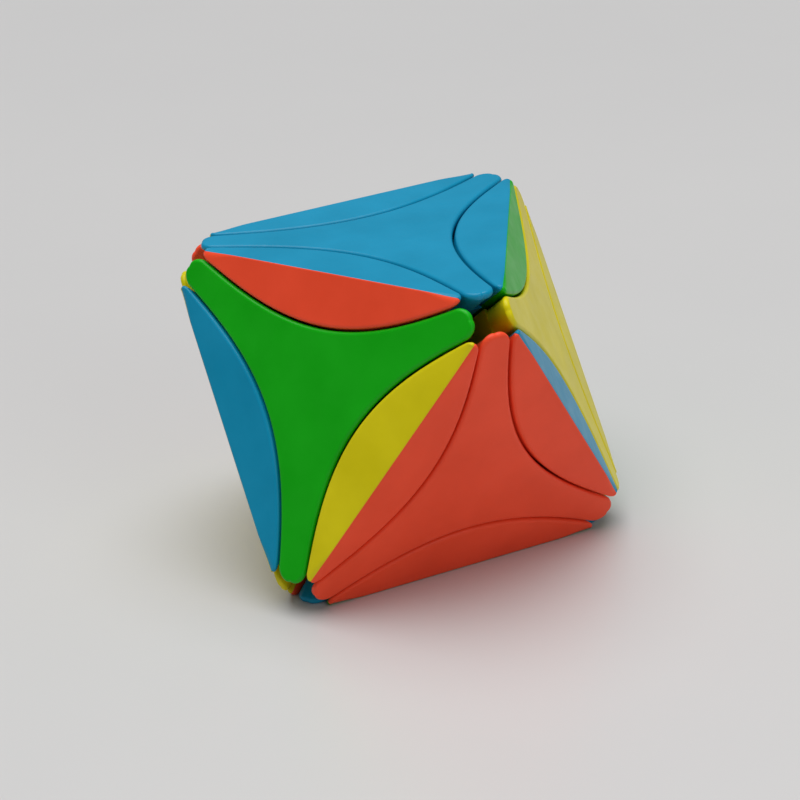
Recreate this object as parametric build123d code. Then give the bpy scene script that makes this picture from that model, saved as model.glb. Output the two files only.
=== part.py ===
from build123d import *
import math
import os

# Face-turning octahedron puzzle: eight three-armed star centres and twelve two-coloured lens-shaped edges
# around one core. Millimetres, +Z up, origin at the middle of the face that the puzzle rests on.

# ---- driving dimensions -------------------------------------------------------------------------------
EDGE = 66.0  # side of a face, corner to corner, before the corners are opened
CUT_ANGLE = 54.4  # half angle of the cone that each turning layer is cut by
CUT_APEX = 2.95  # the cone's apex, out from the centre along the face's axis
GAP = 0.36  # seam between neighbouring pieces
RIM = 0.5  # rounding of every outside rim
ARM_TIP = 2.2  # rounding of a star arm's end
LENS_TIP = 1.5  # rounding of an edge piece's end
WALL = 1.5  # side wall of a cap or shell
TOP = 1.7  # thickness under the coloured faces
CAP_DEPTH = 5.0  # height of a star's cap
CAP_FIT = 0.12  # play between a cap and the tongue inside it
TONGUE = 1.1  # thickness of the tongue
TONGUE_RISE = 2.2  # how far the tongue stands into the cap
SHELL_SPLIT = 23.0  # distance from the centre where an edge's shells meet its foot

CORE_R = 11.0  # core ball
FOOT_LOW, FOOT_HIGH, FOOT_ANGLE = 11.3, 14.5, 52.0  # radii and cone of the edges' feet
WING_LOW, WING_HIGH, WING_ANGLE = 14.8, 17.8, 43.5  # radii and cone of the stars' wings
OUTER_LOW = 18.1  # where the outer bodies begin
PLATE_START = 5.0  # inside every foot and wing
STEM_R = 3.0  # star's stem between the feet
HUB_R = 6.4  # star's hub between its wings and its outer body
TUBE_R = 4.1  # tube round the spring pocket
TUBE_TOP = 24.9  # the tube's mouth, just under the cap
POCKET_R, POCKET_FLOOR = 2.7, 15.6  # spring pocket, and how far out its floor is
BUSH_BORE = 1.15  # radius of the bore that turns on the screw's shank
BASE_FLOOR = 1.6  # thickness of the outer body's floor

SCREW_R, SCREW_TIP = 0.98, 4.4  # shank, and how far out its tip is
SOCKET_R, SOCKET_END = 1.0, 3.9  # the core's socket for the shank, and how far out its bottom is
WASHER_R, WASHER_BORE, WASHER_LOW, WASHER_HIGH = 2.4, 1.15, 20.0, 20.4
HEAD_R, HEAD_HIGH, HEAD_ROUND = 2.0, 21.8, 0.5
RECESS_WIDTH, RECESS_SPAN, RECESS_DEPTH = 0.5, 2.2, 0.8
SPRING_R, SPRING_WIRE, SPRING_TURNS = 1.9, 0.22, 5.5  # coil's and wire's radii
SPRING_SEAT = 1.15 * SPRING_WIRE  # from each seat to the middle of the end turn's wire

# ---- derived ------------------------------------------------------------------------------------------
INRADIUS = EDGE * math.sqrt(6) / 6
SIDE_TILT = math.degrees(math.asin(1 / 3))  # tilt of a side face's normal from the horizontal
NEIGHBOUR_TILT = 90 - SIDE_TILT  # angle between the normals of two faces that share an edge
HALF_FOLD = NEIGHBOUR_TILT / 2
CENTRE = Vector(0, 0, INRADIUS)
FAR = 60.0  # past every outside surface
NEAR = 8.0  # inside the outer bodies' inner sphere
OVERLAP = 1.0  # how far joined and cut shapes run past each other
TALL = 0.6  # share of a block's height that the edges down its arms' ends rise by, and no others
STANDING = (Align.CENTER, Align.CENTER, Align.MIN)

# face: azimuth and tilt of its normal
FACES = {
    "top": (0, 90),
    "upper_left": (-150, SIDE_TILT),
    "upper_right": (-30, SIDE_TILT),
    "upper_back": (90, SIDE_TILT),
    "lower_front": (-90, -SIDE_TILT),
    "lower_left": (150, -SIDE_TILT),
    "lower_right": (30, -SIDE_TILT),
    "bottom": (0, -90),
}

# edge piece: the two faces it folds over
EDGES = {
    "edge_top_left": ("top", "upper_left"),
    "edge_top_right": ("top", "upper_right"),
    "edge_top_back": ("top", "upper_back"),
    "edge_front_left": ("lower_front", "upper_left"),
    "edge_front_right": ("lower_front", "upper_right"),
    "edge_side_left": ("lower_left", "upper_left"),
    "edge_side_right": ("lower_right", "upper_right"),
    "edge_back_left": ("lower_left", "upper_back"),
    "edge_back_right": ("lower_right", "upper_back"),
    "edge_bottom_front": ("lower_front", "bottom"),
    "edge_bottom_left": ("lower_left", "bottom"),
    "edge_bottom_right": ("lower_right", "bottom"),
}


# ---- frames -------------------------------------------------------------------------------------------
def direction(azimuth, tilt):
    a, t = math.radians(azimuth), math.radians(tilt)
    return Vector(math.cos(a) * math.cos(t), math.sin(a) * math.cos(t), math.sin(t))


def face_plane(face):
    """Centre plane of a face: +Z along its normal, -Y towards one of its corners."""
    azimuth, tilt = FACES[face]
    normal = direction(azimuth, tilt)
    if abs(tilt) == 90:
        across = Vector(1, 0, 0)
    else:
        across = direction(azimuth + math.copysign(90, tilt), 0)
    return Plane(origin=CENTRE, x_dir=across, z_dir=normal)


def edge_plane(edge):
    """Centre plane of an edge: +Z out through its middle, X along it, the first face on the +Y side."""
    first, second = (direction(*FACES[face]) for face in EDGES[edge])
    out = (first + second).normalized()
    side = (first - second).normalized()
    return Plane(origin=CENTRE, x_dir=side.cross(out), z_dir=out)


def axis_plane(azimuth, tilt):
    """Plane about another face's axis, with the seam line of its cones turned away from +Z."""
    normal = direction(azimuth, tilt)
    away = direction(azimuth, tilt - 90)
    return Plane(origin=(0, 0, 0), x_dir=away, z_dir=normal)


NEIGHBOURS = [axis_plane(azimuth, SIDE_TILT) for azimuth in (-150, -30, 90)]
FOLD = [axis_plane(azimuth, 90 - HALF_FOLD) for azimuth in (90, -90)]


# ---- cutting shapes, all about an axis through the centre -----------------------------------------------
def frustum(angle, apex, low, high):
    """Cone about Z with its apex at a height, kept between two heights."""
    slope = math.tan(math.radians(angle))
    return Pos(0, 0, low) * Cone((low - apex) * slope, (high - apex) * slope, high - low, align=STANDING)


def layer(inset, low, high):
    """A turning layer's cone, drawn in by inset."""
    return frustum(CUT_ANGLE, CUT_APEX + inset / math.sin(math.radians(CUT_ANGLE)), low, high)


def cylinder(radius, low, high):
    return Pos(0, 0, low) * Cylinder(radius, high - low, align=STANDING)


def spherical_shell(low, high):
    return Sphere(high) - Sphere(low)


def star_block(inset, low, high):
    """A star's outer body between two heights: inside its own cone and outside its three neighbours'."""
    block = layer(inset, low, high)
    for plane in NEIGHBOURS:
        block -= plane * layer(-inset, NEAR, FAR)
    return block


def lens_block(inset, depth):
    """An edge piece's outer body: inside the cones of both its layers and under both its faces."""
    halves = [plane * layer(inset, NEAR, INRADIUS - depth) for plane in FOLD]
    return halves[0] & halves[1]


def inner_plate(angle, low, high):
    """Spherical plate between two radii, inside the cones of both an edge's layers."""
    shift = GAP / 2 / math.sin(math.radians(angle))
    plate = spherical_shell(low, high)
    for plane in FOLD:
        plate &= plane * frustum(angle, shift, PLATE_START, FAR)
    return plate


def above(height):
    """Everything past a height."""
    return Pos(0, 0, height) * Box(4 * FAR, 4 * FAR, FAR, align=STANDING)


def rounded_tips(block, radius, low, high):
    """Rounds the edges that run down the ends of the arms."""
    ends = [e for e in block.edges() if e.bounding_box().size.Z > TALL * (high - low)]
    return fillet(ends, radius)


# ---- pieces in their own frames -------------------------------------------------------------------------
def star_cap():
    low = INRADIUS - CAP_DEPTH
    cap = rounded_tips(star_block(GAP / 2, low, INRADIUS), ARM_TIP, low, INRADIUS)
    cap = fillet(cap.faces().filter_by(GeomType.PLANE).sort_by(Axis.Z)[-1].edges(), RIM)
    return cap - star_block(GAP / 2 + WALL, low - OVERLAP, INRADIUS - TOP)


def star_base():
    high = INRADIUS - CAP_DEPTH
    inner = GAP / 2 + WALL + CAP_FIT
    outer = star_block(GAP / 2, NEAR, high)
    outer += star_block(inner, high - OVERLAP, high + TONGUE_RISE)
    outer -= star_block(inner + TONGUE, NEAR, FAR) - Sphere(OUTER_LOW + BASE_FLOOR)
    outer -= Sphere(OUTER_LOW)
    shift = GAP / 2 / math.sin(math.radians(WING_ANGLE))
    wings = spherical_shell(WING_LOW, WING_HIGH) & frustum(WING_ANGLE, shift, PLATE_START, FAR)
    for plane in NEIGHBOURS:
        wings -= plane * frustum(WING_ANGLE, -shift, PLATE_START, FAR)
    base = outer + wings
    base += cylinder(HUB_R, WING_LOW + OVERLAP, OUTER_LOW + OVERLAP)
    base += cylinder(TUBE_R, OUTER_LOW, TUBE_TOP)
    base += cylinder(STEM_R, FOOT_LOW, WING_LOW + OVERLAP)
    base -= cylinder(POCKET_R, POCKET_FLOOR, FAR)
    base -= cylinder(BUSH_BORE, CORE_R - OVERLAP, POCKET_FLOOR + OVERLAP)
    return base


def edge_body():
    """The whole outside of an edge piece above the split, before it is hollowed and halved."""
    body = lens_block(GAP / 2, 0) & above(SHELL_SPLIT)
    body = fillet([e for e in body.edges() if e.geom_type == GeomType.BSPLINE], LENS_TIP)
    rims = []
    coloured_faces = body.faces().filter_by(GeomType.PLANE).sort_by(Axis.Z)[-2:]
    for face in coloured_faces:
        rims += [e for e in face.edges() if not any(e.is_same(known) for known in rims)]
    return fillet(rims, RIM)


def edge_shell():
    """One coloured half of an edge piece, on the +Y side."""
    shell = edge_body() - lens_block(GAP / 2 + WALL, TOP)
    return shell & Box(FAR, FAR, 2 * FAR, align=(Align.CENTER, Align.MIN, Align.CENTER))


def edge_foot():
    """An edge piece's inner body: a block under the shells with a tongue, a neck and the foot."""
    inner = GAP / 2 + WALL + CAP_FIT
    foot = (lens_block(GAP / 2, 0) - above(SHELL_SPLIT)) - Sphere(OUTER_LOW)
    tongue = lens_block(inner, TOP + CAP_FIT) & above(SHELL_SPLIT - OVERLAP)
    foot += tongue - above(SHELL_SPLIT + TONGUE_RISE)
    foot -= lens_block(inner + TONGUE, TOP) & above(OUTER_LOW + BASE_FLOOR)
    foot += inner_plate(WING_ANGLE, FOOT_HIGH - OVERLAP / 2, OUTER_LOW + OVERLAP / 2)
    foot += inner_plate(FOOT_ANGLE, FOOT_LOW, FOOT_HIGH)
    return foot


def core():
    """Ball with a blind screw socket towards each face."""
    ball = Sphere(CORE_R)
    for azimuth, tilt in FACES.values():
        ball -= Plane(origin=(0, 0, 0), z_dir=direction(azimuth, tilt)) * cylinder(SOCKET_R, SOCKET_END, FAR)
    return ball


def axis_screw():
    """Pan-headed screw with a cross recess."""
    screw = cylinder(SCREW_R, SCREW_TIP, WASHER_HIGH + OVERLAP / 2) + cylinder(HEAD_R, WASHER_HIGH, HEAD_HIGH)
    rim = screw.edges().filter_by(GeomType.CIRCLE).sort_by(Axis.Z)[-1]
    screw = fillet(rim, HEAD_ROUND)
    slot = Box(RECESS_SPAN, RECESS_WIDTH, 2 * RECESS_DEPTH)
    return screw - Pos(0, 0, HEAD_HIGH) * slot - Pos(0, 0, HEAD_HIGH) * Rot(0, 0, 90) * slot


def screw_washer():
    disc = cylinder(WASHER_R, WASHER_LOW, WASHER_HIGH)
    return disc - cylinder(WASHER_BORE, WASHER_LOW - OVERLAP, WASHER_HIGH + OVERLAP)


def screw_spring():
    """Compression spring between the pocket's floor and the washer."""
    low, high = POCKET_FLOOR + SPRING_SEAT, WASHER_LOW - SPRING_SEAT
    path = Helix((high - low) / SPRING_TURNS, high - low, SPRING_R)
    wire = sweep(Plane(origin=path @ 0, z_dir=path % 0) * Circle(SPRING_WIRE), path=path, is_frenet=True)
    return Pos(0, 0, low) * wire


# ---- assembly -------------------------------------------------------------------------------------------
def write(node, *solids):
    """Writes one node, as one solid or as a group of separate ones."""
    shape = solids[0] if len(solids) == 1 else Compound(children=list(solids))
    export_step(shape, f"parts/{node}.step")


def main():
    os.makedirs("parts", exist_ok=True)
    planes = {face: face_plane(face) for face in FACES}
    write("core", Pos(*CENTRE) * core())
    for node, piece in (
        ("axis_screws", axis_screw()),
        ("screw_washers", screw_washer()),
        ("screw_springs", screw_spring()),
    ):
        write(node, *(planes[face] * piece for face in FACES))
    cap, base = star_cap(), star_base()
    for face, plane in planes.items():
        write(f"{face}_star_cap", plane * cap)
        write(f"{face}_star_base", plane * base)
    foot, shell = edge_foot(), edge_shell()
    for edge, (first, second) in EDGES.items():
        plane = edge_plane(edge)
        write(f"{edge}_foot", plane * foot)
        write(f"{edge}_shell_on_{first}", plane * shell)
        write(f"{edge}_shell_on_{second}", plane * Rot(0, 0, 180) * shell)


main()
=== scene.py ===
"""Face-turning octahedron puzzle: fine mouldings, materials, floor, light and camera round the CAD frame."""
import math

import bmesh
import bpy
import numpy as np
from mathutils import Matrix, Vector


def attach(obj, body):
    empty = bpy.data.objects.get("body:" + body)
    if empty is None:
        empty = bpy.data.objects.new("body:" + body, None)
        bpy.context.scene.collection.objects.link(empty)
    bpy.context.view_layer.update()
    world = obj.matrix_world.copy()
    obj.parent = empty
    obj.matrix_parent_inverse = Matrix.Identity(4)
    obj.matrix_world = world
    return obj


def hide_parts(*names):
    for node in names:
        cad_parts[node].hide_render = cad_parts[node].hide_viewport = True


# ---- the part's driving dimensions, in millimetres and degrees ------------------------------------------
MM = 0.001
EDGE = 66.0  # side of a face, corner to corner, before the corners are opened
CUT_ANGLE = 54.4  # half angle of the cone that each turning layer is cut by
CUT_APEX = 2.95  # the cone's apex, out from the centre along the face's axis
GAP = 0.36  # seam between neighbouring pieces
WALL = 1.5  # side wall of a cap or shell
TOP = 1.7  # thickness under the coloured faces
CAP_DEPTH = 5.0  # height of a star's cap
SHELL_SPLIT = 23.0  # distance from the centre where an edge's shells meet its foot
ARM_TIP = 3.5  # length of a star arm's rounded end, which is longer than wide because its rim leans out
LENS_TIP = 1.5  # rounding of an edge piece's end

# ---- how finely the visible mouldings are made ----------------------------------------------------------
STAR_RIM, ARM_RIM = 0.62, 0.64  # rounding of a star's rim along its sides and at its arms' ends
LENS_RIM, NOSE_RIM = 0.62, 0.42  # the same for an edge piece
RIDGE, NOSE_RIDGE = 0.45, 1.7  # rounding along an edge piece's fold, in its middle and at its ends
STAR_ENDS = (26.0, 32.0)  # out from a star's middle, where its rim changes over to that of its arms' ends
LENS_ENDS = (20.0, 25.0)  # along an edge piece from its middle, where its rim changes
FOLD_ENDS = (18.0, 24.0)  # and where its fold changes
LIP = 0.1  # flat strip inside each rim, which keeps the faces' shading flat
HOLLOW_ARM_TIP, HOLLOW_LENS_TIP, HOLLOW_RIDGE = 1.4, 0.4, 0.05  # roundings of the hollows inside
OVER = 0.5  # how far a star's wall is drawn past its face
RIM_STEPS = 7
CURVE_POINTS, NOSE_POINTS = 24, 12  # along each side of an outline, and round each of its noses
DENSE_POINTS, ARC_POINTS = 80, 60  # the same, before they are evened out
WALL_ROWS = 4
ROOF_ROWS = 5
CAP_RINGS = (0.8, 0.6, 0.4, 0.2)  # rings of a star's face, as shares of its outline
CEILING_RINGS = (0.66, 0.33)  # the same for its hollow's ceiling
FOLD_ROWS = (0.75, 0.5, 0.25, 0)  # rows over an edge piece's fold, as shares of its half width
LEVELS = 14  # heights that a wall is worked out at
HALVINGS = 50  # enough to place a point exactly
TINY = 1e-4  # points nearer than this are one
SHARP = 32  # degrees between faces that are shaded apart

INRADIUS = EDGE * math.sqrt(6) / 6
SIDE_TILT = math.degrees(math.asin(1 / 3))
HALF_FOLD = (90 - SIDE_TILT) / 2
SINE = math.sin(math.radians(CUT_ANGLE))
SLOPE = math.tan(math.radians(CUT_ANGLE))
SPREAD = math.cos(math.radians(CUT_ANGLE)) ** 2
SEAM = GAP / 2
LENS_OVER = INRADIUS * 1.25  # past an edge piece's fold

FACES = {
    "top": (0, 90),
    "upper_left": (-150, SIDE_TILT),
    "upper_right": (-30, SIDE_TILT),
    "upper_back": (90, SIDE_TILT),
    "lower_front": (-90, -SIDE_TILT),
    "lower_left": (150, -SIDE_TILT),
    "lower_right": (30, -SIDE_TILT),
    "bottom": (0, -90),
}
STAR_COLOURS = {
    "top": "blue",
    "bottom": "blue",
    "upper_left": "green",
    "lower_right": "green",
    "upper_right": "yellow",
    "lower_left": "yellow",
    "upper_back": "red",
    "lower_front": "red",
}
# edge piece: the faces it folds over, and the colour on each
EDGES = {
    "edge_top_left": (("top", "blue"), ("upper_left", "red")),
    "edge_top_right": (("top", "blue"), ("upper_right", "green")),
    "edge_top_back": (("top", "blue"), ("upper_back", "yellow")),
    "edge_front_left": (("lower_front", "red"), ("upper_left", "yellow")),
    "edge_front_right": (("lower_front", "red"), ("upper_right", "blue")),
    "edge_side_left": (("lower_left", "yellow"), ("upper_left", "blue")),
    "edge_side_right": (("lower_right", "green"), ("upper_right", "yellow")),
    "edge_back_left": (("lower_left", "yellow"), ("upper_back", "green")),
    "edge_back_right": (("lower_right", "green"), ("upper_back", "red")),
    "edge_bottom_front": (("lower_front", "red"), ("bottom", "green")),
    "edge_bottom_left": (("lower_left", "yellow"), ("bottom", "red")),
    "edge_bottom_right": (("lower_right", "green"), ("bottom", "blue")),
}

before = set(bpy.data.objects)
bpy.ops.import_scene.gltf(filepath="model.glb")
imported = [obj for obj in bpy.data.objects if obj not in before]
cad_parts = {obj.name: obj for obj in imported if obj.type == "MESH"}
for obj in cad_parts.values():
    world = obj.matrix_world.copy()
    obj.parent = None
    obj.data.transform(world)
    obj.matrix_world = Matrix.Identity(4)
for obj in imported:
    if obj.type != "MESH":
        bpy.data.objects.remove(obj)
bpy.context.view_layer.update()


# ---- frames ---------------------------------------------------------------------------------------------
def direction(azimuth, tilt):
    a, t = math.radians(azimuth), math.radians(tilt)
    return Vector((math.cos(a) * math.cos(t), math.sin(a) * math.cos(t), math.sin(t)))


def placed(across, out):
    """Matrix of a frame at the puzzle's centre, with +X across and +Z out."""
    across, out = across.normalized(), out.normalized()
    turn = Matrix((across, out.cross(across), out)).transposed().to_4x4()
    return Matrix.Translation((0, 0, INRADIUS * MM)) @ turn


def face_frame(face):
    azimuth, tilt = FACES[face]
    if abs(tilt) == 90:
        across = Vector((1, 0, 0))
    else:
        across = direction(azimuth + math.copysign(90, tilt), 0)
    return placed(across, direction(azimuth, tilt))


def edge_frame(edge):
    first, second = (direction(*FACES[face]) for face, _ in EDGES[edge])
    return placed((first - second).cross(first + second), first + second)


# ---- sections of the mouldings --------------------------------------------------------------------------
def unit(v):
    """v scaled to a length of one."""
    return v / np.maximum(np.linalg.norm(v, axis=-1, keepdims=True), 1e-12)


def resample(line, count):
    """count points evenly along a dense line, both ends kept."""
    run = np.concatenate(([0], np.cumsum(np.linalg.norm(np.diff(line, axis=0), axis=1))))
    at = np.linspace(0, run[-1], count)
    return np.stack([np.interp(at, run, line[:, k]) for k in range(line.shape[1])], axis=1)


def blend(value, low, high, at_low, at_high):
    """Smooth change from one size to another as value goes from low to high."""
    t = np.clip((value - low) / (high - low), 0, 1)
    return at_low + (at_high - at_low) * t * t * (3 - 2 * t)


def arc(centre, radius, start, end):
    angles = np.linspace(start, end, ARC_POINTS)
    return centre + radius * np.stack([np.cos(angles), np.sin(angles)], axis=1)


def star_sector(height, inset, nose):
    """Half of the section between two arms, from its middle out to an arm's axis at 60 degrees."""
    apex = CUT_APEX - inset / SINE
    sine, cosine = math.cos(math.radians(SIDE_TILT)), math.sin(math.radians(SIDE_TILT))
    level = height * cosine - apex
    reach = (height - CUT_APEX - inset / SINE) * SLOPE

    def side(v):
        a = sine * sine / SPREAD - 1
        b = 2 * sine * level / SPREAD + 2 * apex * sine
        g = level**2 / SPREAD - v * v - height**2 + 2 * apex * height * cosine - apex**2
        return np.array([(-b + math.sqrt(b * b - 4 * a * g)) / (2 * a), v])

    along = np.array([math.cos(math.pi / 3), math.sin(math.pi / 3)])
    across = np.array([along[1], -along[0]])
    low, high = 0.0, reach
    for _ in range(HALVINGS):
        v = (low + high) / 2
        low, high = (v, high) if side(v) @ along < reach - nose else (low, v)
    curve = np.array([side(t) for t in np.linspace(0, v, DENSE_POINTS)])
    half_width = curve[-1] @ across
    turn = np.linspace(math.pi / 2, 0, ARC_POINTS)[:, None]
    round_off = (curve[-1] @ along + nose * np.cos(turn)) * along + half_width * np.sin(turn) * across
    return np.concatenate([resample(curve, CURVE_POINTS), resample(round_off, NOSE_POINTS)[1:]])


def star_section(height, inset, nose):
    """The star's whole outline at a height, in order round the axis."""
    half = star_sector(height, inset, nose)
    mirrored = half[::-1] * (1, -1)
    sector = np.concatenate([mirrored[:-1], half[:-1]])
    rings = []
    for azimuth in (-30, 90, 210):
        a = math.radians(azimuth)
        rings.append(sector @ np.array([[math.cos(a), math.sin(a)], [-math.sin(a), math.cos(a)]]))
    return np.concatenate(rings)


def lens_section(height, inset, nose):
    """Half of an edge piece's section, from one nose over its +Y side to the other."""
    apex = CUT_APEX + inset / SINE
    sine, cosine = math.sin(math.radians(HALF_FOLD)), math.cos(math.radians(HALF_FOLD))
    level = height * cosine - apex
    a = sine * sine / SPREAD - 1
    b = -2 * sine * level / SPREAD - 2 * apex * sine
    flat = level**2 / SPREAD - height**2 + 2 * apex * height * cosine - apex**2

    def side(x):
        y = 2 * (flat - x * x) / (-b + math.sqrt(b * b - 4 * a * (flat - x * x)))
        out = np.array([2 * x, 2 * sine * (level - sine * y) / SPREAD + 2 * y + 2 * apex * sine])
        return np.array([x, y]), out / np.linalg.norm(out)

    low, high = 0.0, math.sqrt(flat)
    for _ in range(HALVINGS):
        x = (low + high) / 2
        point, out = side(x)
        centre = point - nose * out
        low, high = (low, x) if centre[1] < 0 else (x, high)
    curve = np.array([side(t)[0] for t in np.linspace(0, x, DENSE_POINTS)])
    round_off = arc(centre, nose, math.atan2(out[1], out[0]), 0)
    half = np.concatenate([resample(curve, CURVE_POINTS), resample(round_off, NOSE_POINTS)[1:]])
    return np.concatenate([half[::-1], half[1:] * (-1, 1)])


class Wall:
    """A moulding's side wall, as sections at several heights with the same points in each."""

    def __init__(self, section, low, high, inset, nose):
        self.levels = np.linspace(low, high, LEVELS)
        self.sections = np.array([section(level, inset, nose) for level in self.levels])
        self.closed = section is star_section

    def at(self, heights):
        """The wall's points with each one at its own height."""
        place = (heights - self.levels[0]) / (self.levels[1] - self.levels[0])
        below = np.clip(place.astype(int), 0, LEVELS - 2)
        share = (place - below)[:, None]
        each = np.arange(len(heights))
        flat = self.sections[below, each] * (1 - share) + self.sections[below + 1, each] * share
        return np.column_stack([flat, heights])

    def outward(self, heights):
        """Outward normals of the wall at those points."""
        points = self.at(heights)
        up = self.at(heights + 0.01) - points
        if self.closed:
            along = np.roll(points, -1, axis=0) - np.roll(points, 1, axis=0)
        else:
            along = np.gradient(points, axis=0)
            along[[0, -1], 0] = 0
        normal = unit(np.cross(along, up))
        if np.sum(normal[:, :2] * points[:, :2]) < 0:
            normal = -normal
        if not self.closed:
            normal[[0, -1], 1] = 0
        return unit(normal)

    def meets(self, roof):
        """Where each point of the wall reaches the roof."""
        low = np.full(self.sections.shape[1], self.levels[0])
        high = np.full(self.sections.shape[1], self.levels[-1])
        for _ in range(40):
            middle = (low + high) / 2
            over = middle > roof.height(self.at(middle))
            low, high = np.where(over, low, middle), np.where(over, middle, high)
        return (low + high) / 2


class FlatRoof:
    """A star's flat face."""

    def __init__(self, top):
        self.top = top

    def height(self, points):
        return np.full(len(points), self.top)

    def normal(self, points):
        return np.tile([0.0, 0.0, 1.0], (len(points), 1))


class FoldedRoof:
    """The two faces of an edge piece, with a rounded fold between them along X that softens towards its ends."""

    def __init__(self, distance, radius, end_radius):
        self.radius, self.end_radius = radius, end_radius
        self.sine, self.cosine = math.sin(math.radians(HALF_FOLD)), math.cos(math.radians(HALF_FOLD))
        self.distance = distance

    def radii(self, points):
        return blend(np.abs(points[:, 0]), *FOLD_ENDS, self.radius, self.end_radius)

    def height(self, points):
        y, radius = np.abs(points[:, 1]), self.radii(points)
        plane = (self.distance - y * self.sine) / self.cosine
        fold = (self.distance - radius) / self.cosine + np.sqrt(np.maximum(radius**2 - y**2, 0))
        return np.where(y < radius * self.sine, fold, plane)

    def normal(self, points):
        y = np.clip(points[:, 1] / self.radii(points), -self.sine, self.sine)
        return np.column_stack([np.zeros(len(y)), y, np.sqrt(1 - y**2)])


def rim_rows(wall, roof, rim_radii):
    """Rows of points up the wall, over the rounded rim and just onto the roof."""
    meeting = wall.meets(roof)
    corner = wall.at(meeting)
    radius = rim_radii(corner)[:, None]
    side, face = wall.outward(meeting), roof.normal(corner)
    together = np.sum(side * face, axis=1, keepdims=True)
    centre = corner - radius * (side + face) / (1 + together)
    spread = np.arccos(np.clip(together, -1, 1))
    start = (centre + radius * side)[:, 2]
    rows = [wall.at(wall.levels[0] + (start - wall.levels[0]) * k / WALL_ROWS) for k in range(WALL_ROWS)]
    for k in range(RIM_STEPS + 1):
        t = k / RIM_STEPS
        normal = (np.sin((1 - t) * spread) * side + np.sin(t * spread) * face) / np.sin(spread)
        rows.append(centre + radius * normal)
    inward = unit(side - together * face)
    lip = rows[-1] - LIP * inward
    if not wall.closed:
        lip[:, 1] = np.maximum(lip[:, 1], 0)
        lip[:, 2] = roof.height(lip)
    rows.append(lip)
    return rows


# ---- meshes ---------------------------------------------------------------------------------------------
def grid_faces(rows, width, closed, first=0, flip=False):
    """Quads between consecutive rows of width points each."""
    faces = []
    for r in range(rows - 1):
        for k in range(width if closed else width - 1):
            n = (k + 1) % width
            a, b = first + r * width, first + (r + 1) * width
            face = (a + k, a + n, b + n, b + k)
            faces.append(face[::-1] if flip else face)
    return faces


def moulding(name, points, faces, frame_matrix, material):
    """A closed piece from points in millimetres in its own frame."""
    mesh = bpy.data.meshes.new(name)
    build = bmesh.new()
    verts = [build.verts.new(p) for p in points]
    for face in faces:
        build.faces.new([verts[i] for i in dict.fromkeys(face)])
    bmesh.ops.remove_doubles(build, verts=build.verts, dist=TINY)
    bmesh.ops.dissolve_degenerate(build, edges=build.edges, dist=TINY / 10)
    open_edges = [e for e in build.edges if e.is_boundary]
    if open_edges:
        bmesh.ops.holes_fill(build, edges=open_edges, sides=0)
    bmesh.ops.triangulate(build, faces=[f for f in build.faces if len(f.verts) > 4])
    bmesh.ops.recalc_face_normals(build, faces=build.faces)
    bmesh.ops.scale(build, vec=(MM, MM, MM), verts=build.verts)
    build.transform(frame_matrix)
    build.to_mesh(mesh)
    build.free()
    mesh.shade_smooth()
    mesh.set_sharp_from_angle(angle=math.radians(SHARP))
    mesh.materials.append(material)
    piece = bpy.data.objects.new(name, mesh)
    bpy.context.scene.collection.objects.link(piece)
    weighted = piece.modifiers.new("face shading", "WEIGHTED_NORMAL")
    weighted.keep_sharp = True
    return piece


def star_rims(corner):
    return blend(np.hypot(corner[:, 0], corner[:, 1]), *STAR_ENDS, STAR_RIM, ARM_RIM)


def lens_rims(corner):
    return blend(np.abs(corner[:, 0]), *LENS_ENDS, LENS_RIM, NOSE_RIM)


def star_cap_points():
    """A star's cap: wall, rim and face outside, and the hollow under it."""
    low = INRADIUS - CAP_DEPTH
    wall = Wall(star_section, low, INRADIUS + OVER, SEAM, ARM_TIP)
    rows = rim_rows(wall, FlatRoof(INRADIUS), star_rims)
    rows += [rows[-1] * (s, s, 1) for s in CAP_RINGS]
    width = len(rows[0])
    points = np.concatenate(rows)
    faces = grid_faces(len(rows), width, True)
    hub = len(points)
    last = hub - width
    points = np.concatenate([points, [[0, 0, INRADIUS]]])
    faces += [(last + k, last + (k + 1) % width, hub) for k in range(width)]

    hollow = Wall(star_section, low, INRADIUS, SEAM + WALL, HOLLOW_ARM_TIP)
    inner = [hollow.at(np.full(width, h)) for h in (low, INRADIUS - TOP)]
    inner += [inner[-1] * (s, s, 1) for s in CEILING_RINGS]
    first = len(points)
    points = np.concatenate([points] + inner + [[[0, 0, INRADIUS - TOP]]])
    faces += grid_faces(len(inner), width, True, first, flip=True)
    hub = len(points) - 1
    last = hub - width
    faces += [(last + (k + 1) % width, last + k, hub) for k in range(width)]
    faces += [(k, first + k, first + (k + 1) % width, (k + 1) % width) for k in range(width)]
    return points, faces


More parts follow.
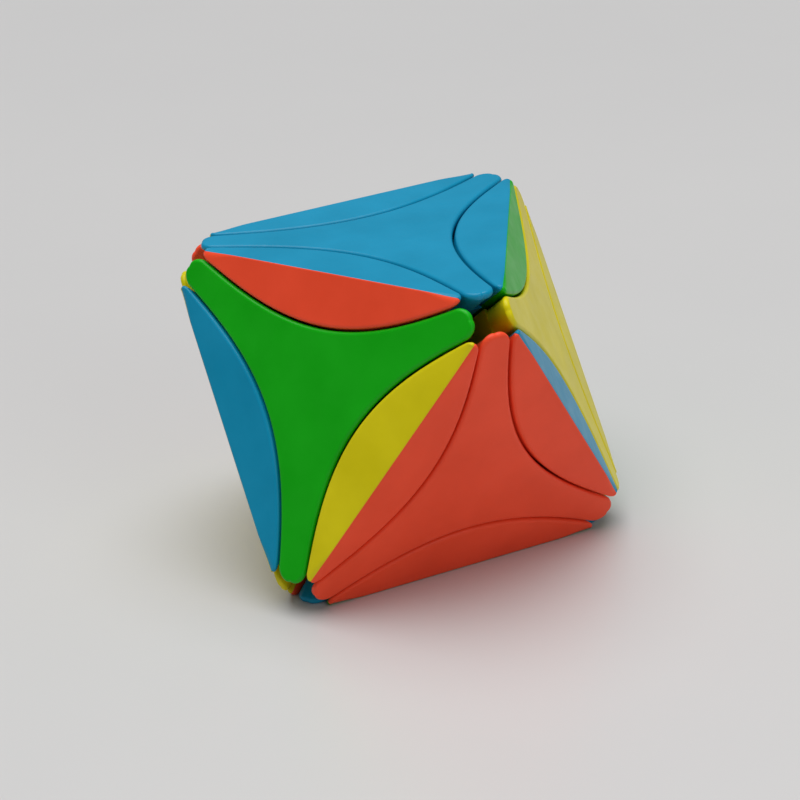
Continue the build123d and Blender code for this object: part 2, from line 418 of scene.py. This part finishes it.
def edge_shell_points():
    """The +Y half of an edge piece's shells. Its cut side, at y = 0, is filled in by moulding()."""
    roof = FoldedRoof(INRADIUS, RIDGE, NOSE_RIDGE)
    wall = Wall(lens_section, SHELL_SPLIT, LENS_OVER, SEAM, LENS_TIP)
    rows = rim_rows(wall, roof, lens_rims)
    lip = rows[-1]
    fold = np.minimum(roof.radii(lip) * roof.sine, lip[:, 1])
    for k in range(1, ROOF_ROWS + 1):
        row = lip.copy()
        row[:, 1] = fold + (lip[:, 1] - fold) * (1 - k / ROOF_ROWS)
        row[:, 2] = roof.height(row)
        rows.append(row)
    for share in FOLD_ROWS:
        row = rows[-1].copy()
        row[:, 1] = fold * share
        row[:, 2] = roof.height(row)
        rows.append(row)
    width = len(lip)
    points = np.concatenate(rows)
    faces = grid_faces(len(rows), width, False)

    ceiling = FoldedRoof(INRADIUS - TOP, HOLLOW_RIDGE, HOLLOW_RIDGE)
    hollow = Wall(lens_section, SHELL_SPLIT, LENS_OVER, SEAM + WALL, HOLLOW_LENS_TIP)
    top = hollow.at(hollow.meets(ceiling))
    middle = top.copy()
    middle[:, 1] = 0
    middle[:, 2] = ceiling.height(middle)
    inner = [hollow.at(np.full(width, SHELL_SPLIT)), top, middle]
    first = len(points)
    points = np.concatenate([points] + inner)
    faces += grid_faces(len(inner), width, False, first, flip=True)
    faces += [(k, first + k, first + k + 1, k + 1) for k in range(width - 1)]
    return points, faces


# ---- materials ------------------------------------------------------------------------------------------
class Nodes:
    """Short-hand for building one material's node tree."""

    def __init__(self, name):
        self.material = bpy.data.materials.new(name)
        self.material.use_nodes = True
        self.tree = self.material.node_tree
        self.shader = self.tree.nodes["Principled BSDF"]

    def add(self, kind, **values):
        node = self.tree.nodes.new(kind)
        for name, value in values.items():
            if name in node.inputs:
                node.inputs[name].default_value = value
            else:
                setattr(node, name, value)
        return node

    def link(self, source, output, target, socket):
        self.tree.links.new(source.outputs[output], target.inputs[socket])


def moulded_plastic(name, colour):
    """Satin moulded plastic: slight clouding in the colour, a fine grain and faint handling marks."""
    made = Nodes(name)
    place = made.add("ShaderNodeTexCoord")
    cloud = made.add("ShaderNodeTexNoise", Scale=90.0, Detail=3.0, Roughness=0.55)
    fine = made.add("ShaderNodeTexNoise", Scale=2600.0, Detail=2.0, Roughness=0.6)
    marks = made.add("ShaderNodeTexNoise", Scale=240.0, Detail=6.0, Roughness=0.62, Distortion=0.4)
    for texture in (cloud, fine, marks):
        made.link(place, "Object", texture, "Vector")

    tint = made.add("ShaderNodeValToRGB")
    deep = [c * 0.93 for c in colour[:3]] + [1]
    pale = [min(1, c * 1.05 + 0.004) for c in colour[:3]] + [1]
    tint.color_ramp.elements[0].position = 0.3
    tint.color_ramp.elements[0].color = deep
    tint.color_ramp.elements[1].position = 0.7
    tint.color_ramp.elements[1].color = pale
    made.link(cloud, "Fac", tint, "Fac")
    made.link(tint, "Color", made.shader, "Base Color")

    shine = made.add("ShaderNodeMapRange")
    shine.inputs["From Min"].default_value = 0.35
    shine.inputs["From Max"].default_value = 0.7
    shine.inputs["To Min"].default_value = 0.31
    shine.inputs["To Max"].default_value = 0.41
    made.link(marks, "Fac", shine, "Value")
    made.link(shine, "Result", made.shader, "Roughness")

    grain_bump = made.add("ShaderNodeBump", Strength=0.16, Distance=0.00004)
    made.link(fine, "Fac", grain_bump, "Height")
    flow = made.add("ShaderNodeBump", Strength=0.05, Distance=0.00003)
    made.link(cloud, "Fac", flow, "Height")
    made.link(grain_bump, "Normal", flow, "Normal")
    made.link(flow, "Normal", made.shader, "Normal")
    made.shader.inputs["IOR"].default_value = 1.53
    made.shader.inputs["Specular IOR Level"].default_value = 0.2
    return made.material


def steel(name):
    """Zinc-plated steel with fine turning marks."""
    made = Nodes(name)
    place = made.add("ShaderNodeTexCoord")
    brush = made.add("ShaderNodeTexNoise", Scale=900.0, Detail=4.0, Roughness=0.6)
    made.link(place, "Object", brush, "Vector")
    tint = made.add("ShaderNodeValToRGB")
    tint.color_ramp.elements[0].color = (0.36, 0.36, 0.37, 1)
    tint.color_ramp.elements[1].color = (0.62, 0.62, 0.62, 1)
    made.link(brush, "Fac", tint, "Fac")
    made.link(tint, "Color", made.shader, "Base Color")
    shine = made.add("ShaderNodeMapRange")
    shine.inputs["To Min"].default_value = 0.22
    shine.inputs["To Max"].default_value = 0.42
    made.link(brush, "Fac", shine, "Value")
    made.link(shine, "Result", made.shader, "Roughness")
    made.shader.inputs["Metallic"].default_value = 1.0
    return made.material


COLOURS = {
    "blue": (0.0005, 0.272, 0.468, 1),
    "green": (0.0005, 0.425, 0.0005, 1),
    "red": (0.98, 0.080, 0.027, 1),
    "yellow": (0.73, 0.63, 0.001, 1),
    "black": (0.010, 0.010, 0.011, 1),
}
plastics = {name: moulded_plastic(f"{name}_abs", colour) for name, colour in COLOURS.items()}
plated = steel("plated_steel")


# ---- the object -----------------------------------------------------------------------------------------
def paint(node, material):
    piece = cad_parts[node]
    piece.data.materials.clear()
    piece.data.materials.append(material)


paint("core", plastics["black"])
for node in ("axis_screws", "screw_washers", "screw_springs"):
    paint(node, plated)

cap_points, cap_faces = star_cap_points()
for face, colour in STAR_COLOURS.items():
    paint(f"{face}_star_base", plastics[colour])
    cap = moulding(f"{face}_cap", cap_points, cap_faces, face_frame(face), plastics[colour])
    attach(cap, f"{face}_star")
    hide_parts(f"{face}_star_cap")

shell_points, shell_faces = edge_shell_points()
for edge, halves in EDGES.items():
    paint(f"{edge}_foot", plastics["black"])
    for turn, (face, colour) in zip((0, math.pi), halves):
        half_frame = edge_frame(edge) @ Matrix.Rotation(turn, 4, "Z")
        shell = moulding(f"{edge}_on_{face}", shell_points, shell_faces, half_frame, plastics[colour])
        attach(shell, edge)
        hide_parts(f"{edge}_shell_on_{face}")


# ---- floor, light and camera ----------------------------------------------------------------------------
def floor():
    made = Nodes("pale_table")
    place = made.add("ShaderNodeTexCoord")
    mottle = made.add("ShaderNodeTexNoise", Scale=7.0, Detail=5.0, Roughness=0.6)
    made.link(place, "Object", mottle, "Vector")
    tint = made.add("ShaderNodeValToRGB")
    tint.color_ramp.elements[0].color = (0.58, 0.575, 0.575, 1)
    tint.color_ramp.elements[1].color = (0.62, 0.615, 0.61, 1)
    made.link(mottle, "Fac", tint, "Fac")
    made.link(tint, "Color", made.shader, "Base Color")
    made.shader.inputs["Roughness"].default_value = 0.38
    mesh = bpy.data.meshes.new("table_top")
    reach = 3.0
    corners = [(x * reach, y * reach, 0) for x, y in ((-1, -1), (1, -1), (1, 1), (-1, 1))]
    mesh.from_pydata(corners, [], [(0, 1, 2, 3)])
    mesh.materials.append(made.material)
    top = bpy.data.objects.new("table_top", mesh)
    bpy.context.scene.collection.objects.link(top)


def lamp(name, kind, direction_to, power, **shape):
    """A lamp on the side that direction_to points to, aimed at the puzzle."""
    light = bpy.data.lights.new(name, kind)
    light.energy = power
    for key, value in shape.items():
        setattr(light, key, value)
    holder = bpy.data.objects.new(name, light)
    bpy.context.scene.collection.objects.link(holder)
    holder.location = Vector(direction_to)
    holder.rotation_euler = Vector(direction_to).to_track_quat("Z", "Y").to_euler()


def studio():
    world = bpy.data.worlds.new("studio")
    bpy.context.scene.world = world
    world.use_nodes = True
    sky = world.node_tree.nodes["Background"]
    sky.inputs["Color"].default_value = (0.985, 0.99, 1.0, 1)
    sky.inputs["Strength"].default_value = 0.2
    lamp("overhead", "SUN", (0.0, 0.1, 1.0), 2.75, angle=math.radians(60))
    lamp("fill", "AREA", (0.2, -1.0, 0.45), 1.5, size=0.6)
    bpy.context.scene.view_settings.view_transform = "Standard"


def camera():
    """A camera at azimuth and elevation round the middle of the puzzle, rolled a little, as a hand-held one is."""
    azimuth, elevation, roll = math.radians(-24.83), math.radians(24.22), math.radians(-4.05)
    distance, aside, above = 447.3, -0.70, -2.96
    back = Vector(
        (math.sin(azimuth) * math.cos(elevation), -math.cos(azimuth) * math.cos(elevation), math.sin(elevation))
    )
    right = (-back).cross(Vector((0, 0, 1))).normalized()
    up = right.cross(-back)
    place = Vector((0, 0, INRADIUS)) + back * distance + right * aside + up * above
    rolled_right = right * math.cos(roll) + up * math.sin(roll)
    rolled_up = up * math.cos(roll) - right * math.sin(roll)
    turned = Matrix((rolled_right, rolled_up, back))
    data = bpy.data.cameras.new("camera")
    data.lens = 118.9
    data.sensor_width = 36
    data.clip_start = 0.01
    lens = bpy.data.objects.new("camera", data)
    lens.matrix_world = Matrix.Translation(place * MM) @ turned.transposed().to_4x4()
    bpy.context.scene.collection.objects.link(lens)
    bpy.context.scene.camera = lens


floor()
studio()
camera()
